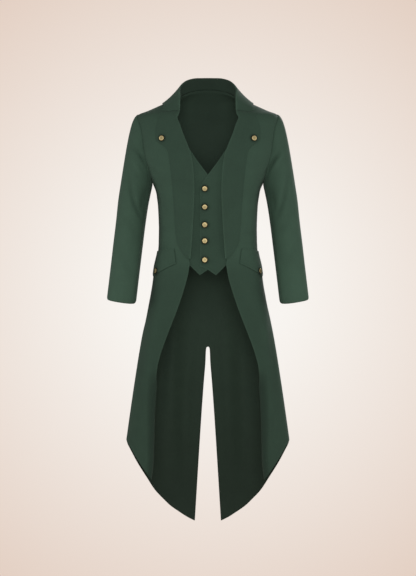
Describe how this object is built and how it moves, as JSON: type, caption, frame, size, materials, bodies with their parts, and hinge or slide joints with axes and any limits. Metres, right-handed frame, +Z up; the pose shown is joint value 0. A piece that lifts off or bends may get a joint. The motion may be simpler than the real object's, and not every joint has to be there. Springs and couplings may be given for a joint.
{
  "type": "tailcoat",
  "caption": "Hollow worn form of a full-length tailcoat with wide buttoned revers, a fold-down collar, cutaway fronts, long tails and a buttoned waistcoat front sewn in.",
  "frame": {"origin": "midway between the shoulders at the height of the shoulder line, where the wearer's shoulders carry the coat", "axes": "+Z up to the collar, -Y towards the coat's front, +X to the wearer's left"},
  "size_m": [0.6132, 0.2746, 1.3515],
  "materials": {
    "coat_cloth": "soft brushed wool, dark green",
    "lining_cloth": "smooth dark green lining",
    "brass_button": "polished"
  },
  "bodies": {
    "root": {"front_left": "coat_cloth", "front_right": "coat_cloth", "back_left": "coat_cloth", "back_right": "coat_cloth", "back_lining_left": "lining_cloth", "back_lining_right": "lining_cloth", "collar": "coat_cloth", "lapel_left": "coat_cloth", "lapel_right": "coat_cloth", "top_sleeve_left": "coat_cloth", "top_sleeve_right": "coat_cloth", "under_sleeve_left": "coat_cloth", "under_sleeve_right": "coat_cloth", "waistcoat_left": "coat_cloth", "waistcoat_right": "coat_cloth", "hip_flap_left": "coat_cloth", "hip_flap_right": "coat_cloth", "waistcoat_button_1": "brass_button", "waistcoat_button_2": "brass_button", "waistcoat_button_3": "brass_button", "waistcoat_button_4": "brass_button", "waistcoat_button_5": "brass_button", "lapel_button_left": "brass_button", "lapel_button_right": "brass_button", "flap_button_left": "brass_button", "flap_button_right": "brass_button"}
  },
  "joints": []
}
